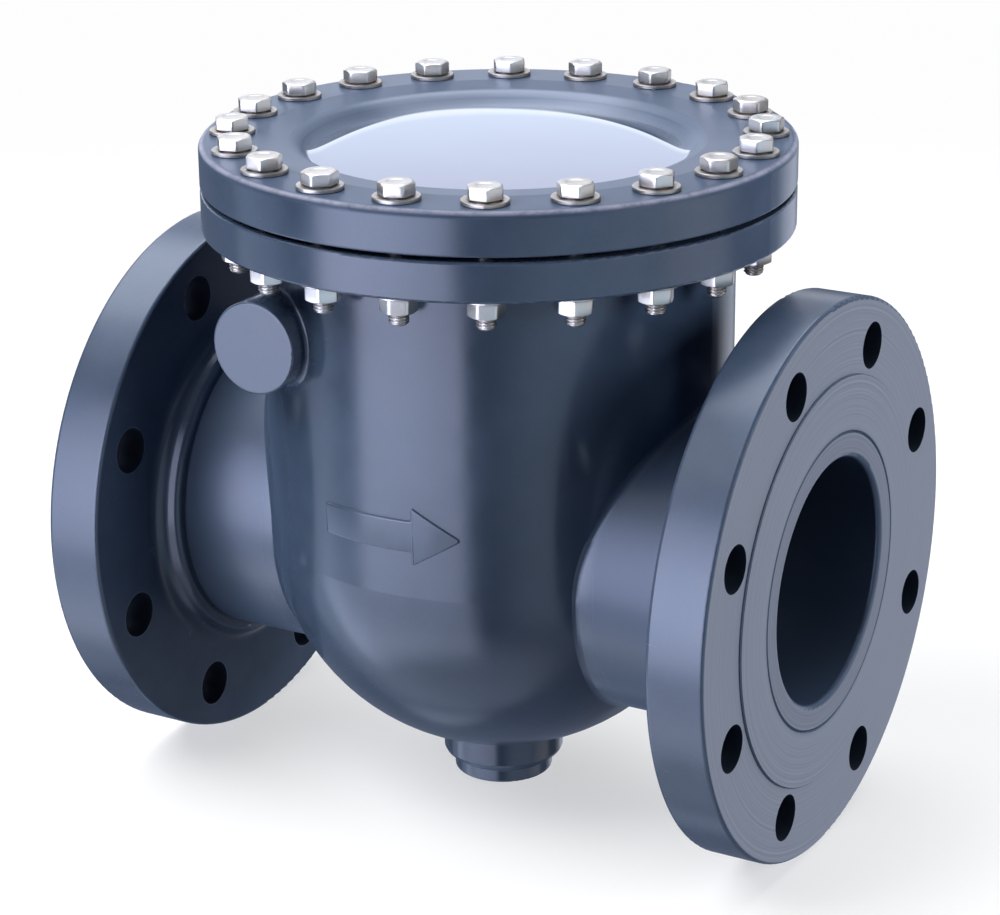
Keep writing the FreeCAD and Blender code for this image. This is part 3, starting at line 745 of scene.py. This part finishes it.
def flow_arrow():
    mm_per_degree = BARREL_RADIUS / MM * math.pi / 180.0
    tail, neck, tip = (a * mm_per_degree for a in (ARROW_TAIL, ARROW_NECK, ARROW_TIP))
    shaft_low, shaft_high = ARROW_Z - ARROW_SHAFT_HALF, ARROW_Z + ARROW_SHAFT_HALF
    polygon = [(tail, shaft_low), (neck, shaft_low), (neck, ARROW_Z - ARROW_HEAD_HALF),
               (tip, ARROW_Z), (neck, ARROW_Z + ARROW_HEAD_HALF), (neck, shaft_high),
               (tail, shaft_high)]
    outline = rounded(polygon, radii=[1.0, 0.6, 0.8, 1.2, 0.8, 0.6, 1.0])
    # rounded edge: (inset, height) from the root to the top face
    levels = [(-0.15, -0.35), (0.0, 0.0), (0.16, 0.42), (0.34, 0.64), (0.62, 0.74), (0.95, 0.76)]
    bm = bmesh.new()
    loops = [[bm.verts.new((p.x, p.y, height)) for p in inset_outline(outline, inset)]
             for inset, height in levels]
    for lower, upper in zip(loops, loops[1:]):
        for i in range(len(outline)):
            j = (i + 1) % len(outline)
            bm.faces.new((lower[i], lower[j], upper[j], upper[i]))
    bm.faces.new(loops[-1])
    bm.faces.new(list(reversed(loops[0])))
    end = max(p.x for p in outline)
    x = min(p.x for p in outline) + ARROW_SLICE
    while x < end - 0.2:
        everything = bm.verts[:] + bm.edges[:] + bm.faces[:]
        bmesh.ops.bisect_plane(bm, geom=everything, dist=1e-5, plane_co=(x, 0, 0),
                               plane_no=(1, 0, 0))
        x += ARROW_SLICE
    for vertex in bm.verts:
        vertex.co = on_barrel(*vertex.co)
    return smooth_object(bpy.data.meshes.new("flow_arrow"), bm, ARROW, sharp_degrees=50)


arrow = flow_arrow()
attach(arrow, "valve")


# --------------------------------------------------------------------------
# Split cotter pin through the disc stud
def sweep(path, section):
    """Sweep a closed section along a path with as little twist as possible; capped ends."""
    points = [Vector(p) for p in path]
    across = Vector((1, 0, 0))
    vertices = []
    for i, point in enumerate(points):
        after = points[min(len(points) - 1, i + 1)]
        tangent = (after - points[max(0, i - 1)]).normalized()
        across = (across - tangent * across.dot(tangent)).normalized()
        side = tangent.cross(across)
        vertices += [point + across * u + side * v for u, v in section]
    count = len(section)
    faces = tube_faces(len(points), count)
    faces.append(tuple(reversed(range(count))))
    faces.append(tuple((len(points) - 1) * count + k for k in range(count)))
    return vertices, faces


def pin_path():
    """Upper tail and leg, eye, lower leg and longer tail bent the other way."""
    upper_bend, lower_bend = PIN_END_Y - TAIL_BEND, PIN_END_Y - 0.0014  # y where the bends start

    def tail(bend_y, side, degrees):
        t = math.radians(degrees)
        return (PIN_X, bend_y + TAIL_BEND * math.sin(t),
                side * (LEG_Z + TAIL_BEND - TAIL_BEND * math.cos(t)))

    def leg(bend_y, side, k):
        return PIN_X, bend_y - (bend_y - LEG_START_Y) * k / 14, side * LEG_Z

    def eye(degrees):
        t = math.radians(degrees)
        return PIN_X, EYE_Y + EYE_RADIUS * math.cos(t), EYE_RADIUS * math.sin(t)

    return ([tail(upper_bend, 1, 75 - 75 * k / 6) for k in range(7)]
            + [leg(upper_bend, 1, k) for k in range(1, 14)]
            + [eye(35 + 290 * k / 20) for k in range(21)]
            + [leg(lower_bend, -1, k) for k in range(13, 0, -1)]
            + [tail(lower_bend, -1, 85 * k / 7) for k in range(8)])


wire_section = [(WIRE_RADIUS * math.cos(2 * math.pi * k / 12),
                 WIRE_RADIUS * math.sin(2 * math.pi * k / 12)) for k in range(12)]
pin = mesh_object("split_pin", *sweep(pin_path(), wire_section), STEEL, sharp_degrees=50.0)
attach(pin, "disc_set")
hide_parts("cotter_pin")


# --------------------------------------------------------------------------
# Floor
def floor_material():
    g = Material("studio_floor")
    broad = g.noise(scale=3.0, detail=3.0)
    g.colour = g.mix(g.rise(broad, 0.3, 0.7), (0.90, 0.90, 0.905), (0.93, 0.93, 0.935))
    g.rough = 0.75
    g.emboss(g.noise(scale=300.0), distance=0.00005)
    glow = g.node("ShaderNodeEmission", {"Color": (0.985, 0.985, 0.988), "Strength": 1.0})
    # the floor runs out into the backdrop without a line
    radius = g.radius(g.subtract(g.x, CENTRE_X), g.y)
    fade = g.rise(radius, 0.30, 1.30, low=0.58)
    mixed = g.node("ShaderNodeMixShader", {0: fade, 1: g.shader, 2: glow.outputs[0]})
    g.put(g.surface, mixed.outputs[0])
    return g.finish()


def studio_floor():
    """Large plane seen by the camera only."""
    bm = bmesh.new()
    bmesh.ops.create_grid(bm, x_segments=8, y_segments=8, size=30.0)
    bm.transform(Matrix.Translation((CENTRE_X, 0, GROUND_Z)))
    mesh = bpy.data.meshes.new("floor")
    bm.to_mesh(mesh)
    bm.free()
    mesh.materials.append(floor_material())
    floor = link_object("floor", mesh)
    floor.visible_glossy = False
    floor.visible_diffuse = False
    floor.visible_shadow = False
    floor.visible_transmission = False


studio_floor()


# --------------------------------------------------------------------------
# Lights. Azimuth 0 is -Y and grows toward +X; angles are in degrees.
def direction(azimuth, elevation):
    a, e = math.radians(azimuth), math.radians(elevation)
    return Vector((math.sin(a) * math.cos(e), -math.cos(a) * math.cos(e), math.sin(e)))


LIGHT_TARGET = Vector((CENTRE_X, 0, 0.03))
LIGHT_DISTANCE = 2.0
LIGHTS = [
    # name, azimuth, elevation, (width, height), watts, colour
    ("key", -45, 52, (1.6, 1.2), 62.0, (1.0, 0.99, 0.98)),
    ("low", -45, -52, (1.6, 1.2), 50.0, (0.98, 0.99, 1.0)),
    ("back_top", -170, 60, (2.0, 1.6), 34.0, (0.97, 0.985, 1.0)),
    ("right", 100, 8, (1.6, 1.6), 49.0, (0.97, 0.985, 1.0)),
    ("right_low", 140, -20, (1.2, 1.2), 8.0, (0.97, 0.985, 1.0)),
]
for name, azimuth, elevation, size, watts, colour in LIGHTS:
    light = bpy.data.lights.new(name, "AREA")
    light.shape = "RECTANGLE"
    light.size, light.size_y = size
    light.energy = watts
    light.color = colour
    outward = direction(azimuth, elevation)
    lamp = link_object(name, light)
    lamp.location = LIGHT_TARGET + outward * LIGHT_DISTANCE
    lamp.rotation_mode = "QUATERNION"
    lamp.rotation_quaternion = (-outward).to_track_quat("-Z", "Y")
    lamp.visible_glossy = False

# Soft panels seen by glossy rays only
PANELS = {
    # name: centre azimuth, half width, softness at low and high azimuth,
    #       low elevation, its softness, high elevation, its softness, strength, colour
    "front": (-15.5, 27.5, 4.0, 4.0, -22.0, 3.0, 35.0, 9.0, 3.8, (0.89, 0.97, 1.33)),
    "core": (-20.0, 16.0, 12.0, 12.0, -14.0, 12.0, 20.0, 12.0, 2.7, (0.89, 0.97, 1.33)),
    "front_low": (-28.0, 43.0, 5.0, 5.0, -51.0, 8.0, -22.0, 3.0, 1.95, (0.88, 0.97, 1.30)),
    "right_front": (64.0, 28.0, 16.0, 12.0, -40.0, 16.0, 12.0, 12.0, 0.75, (0.74, 0.97, 1.26)),
    "right_edge": (110.0, 16.0, 8.0, 8.0, -36.0, 8.0, 4.0, 6.0, 0.80, (0.94, 0.98, 1.10)),
    "left_low": (-74.0, 14.0, 4.0, 8.0, -46.0, 10.0, 10.0, 8.0, 0.72, (0.80, 0.97, 1.34)),
    "left_under": (-114.0, 13.0, 8.0, 8.0, -82.0, 8.0, -60.0, 5.0, 0.56, (0.86, 0.97, 1.20)),
    "back_low": (178.0, 13.0, 8.0, 8.0, -40.0, 10.0, 4.0, 6.0, 0.78, (0.92, 0.98, 1.12)),
    "under": (-10.0, 80.0, 20.0, 20.0, -88.0, 10.0, -47.0, 10.0, 0.6, (0.84, 0.97, 1.24)),
    "backdrop": (-130.0, 27.0, 10.0, 12.0, 3.0, 5.0, 15.0, 4.0, 1.9, (0.93, 0.98, 1.10)),
    "backdrop_high": (-156.0, 46.0, 12.0, 12.0, 18.0, 6.0, 40.0, 8.0, 0.6, (0.93, 0.98, 1.10)),
    "left_top": (-122.0, 48.0, 14.0, 9.0, 41.0, 9.0, 104.0, 10.0, 4.3, (0.91, 0.98, 1.14)),
    "mid_top": (-46.0, 26.0, 8.0, 14.0, 45.0, 7.0, 76.0, 8.0, 1.3, (0.88, 0.98, 1.20)),
    "right_side": (108.0, 34.0, 16.0, 16.0, 8.0, 10.0, 50.0, 12.0, 1.1, (0.92, 0.98, 1.10)),
}
AMBIENT = (0.135, 0.155, 0.21)


def panel_light(g, ray, elevation, panel):
    """Colour that one panel adds in the direction of a ray."""
    centre, half, soft_left, soft_right, low, soft_low, high, soft_high, strength, colour = panel
    turned = g.node("ShaderNodeVectorRotate", {"Vector": ray, "Angle": -math.radians(centre)},
                    rotation_type="Z_AXIS")
    x, y, _ = g.split(turned.outputs[0])
    azimuth = g.mul(g.math("ARCTAN2", x, g.mul(y, -1.0)), 180 / math.pi)
    across = g.mul(g.rise(azimuth, -half - soft_left, -half + soft_left),
                   g.fall(azimuth, half - soft_right, half + soft_right))
    upright = g.mul(g.rise(elevation, low - soft_low, low + soft_low),
                    g.fall(elevation, high - soft_high, high + soft_high))
    scaled = g.node("ShaderNodeVectorMath",
                    {0: colour, "Scale": g.mul(across, upright, strength)}, operation="SCALE")
    return scaled.outputs[0]


def studio_world():
    """Panels for glossy rays, a dim sky for diffuse rays and near white for the camera."""
    world = bpy.data.worlds.new("studio")
    SCENE.world = world
    world.use_nodes = True
    g = Graph(world.node_tree)
    output = g.node("ShaderNodeOutputWorld")
    ray = g.node("ShaderNodeTexCoord").outputs["Generated"]
    ray_z = g.split(ray)[2]
    elevation = g.mul(g.math("ARCSINE", ray_z), 180 / math.pi)
    total = None
    for panel in PANELS.values():
        light = panel_light(g, ray, elevation, panel)
        total = g.vector_math("ADD", total, light) if total else light
    total = g.vector_math("ADD", total, AMBIENT)
    sky = g.mix(g.rise(ray_z, -0.8, 0.8), (0.52, 0.55, 0.62), (0.60, 0.63, 0.70))
    white = g.mix(g.rise(ray_z, 0.0, 0.6), (0.985, 0.985, 0.988), (0.95, 0.953, 0.960))
    glossy = g.node("ShaderNodeBackground", {"Color": total}).outputs[0]
    diffuse = g.node("ShaderNodeBackground", {"Color": sky, "Strength": 0.10}).outputs[0]
    seen = g.node("ShaderNodeBackground", {"Color": white}).outputs[0]
    rays = g.node("ShaderNodeLightPath").outputs
    lit = g.node("ShaderNodeMixShader", {0: rays["Is Glossy Ray"], 1: diffuse, 2: glossy})
    shown = g.node("ShaderNodeMixShader", {0: rays["Is Camera Ray"], 1: lit.outputs[0], 2: seen})
    g.put(output.inputs["Surface"], shown.outputs[0])
    world.cycles.sampling_method = "MANUAL"
    world.cycles.sample_map_resolution = 1024


studio_world()
SCENE.view_settings.view_transform = "Standard"
SCENE.view_settings.look = "None"

# --------------------------------------------------------------------------
# Camera
CAMERA_AZIMUTH, CAMERA_ELEVATION, CAMERA_ROLL = 29.709, 19.900, -0.522  # degrees
CAMERA_PLACE = (0.73324, -1.02314, 0.45312)


def add_camera():
    azimuth, roll = math.radians(CAMERA_AZIMUTH), math.radians(CAMERA_ROLL)
    backward = direction(CAMERA_AZIMUTH, CAMERA_ELEVATION)
    level = Vector((math.cos(azimuth), math.sin(azimuth), 0.0))
    upright = backward.cross(level)
    right = level * math.cos(roll) + upright * math.sin(roll)
    up = upright * math.cos(roll) - level * math.sin(roll)
    lens = bpy.data.cameras.new("camera")
    lens.sensor_fit = "HORIZONTAL"
    lens.sensor_width = 36.0
    lens.lens = 108.29
    lens.clip_start, lens.clip_end = 0.05, 200.0
    camera = link_object("camera", lens)
    camera.matrix_world = Matrix((*zip(right, up, backward, CAMERA_PLACE), (0, 0, 0, 1)))
    SCENE.camera = camera


add_camera()
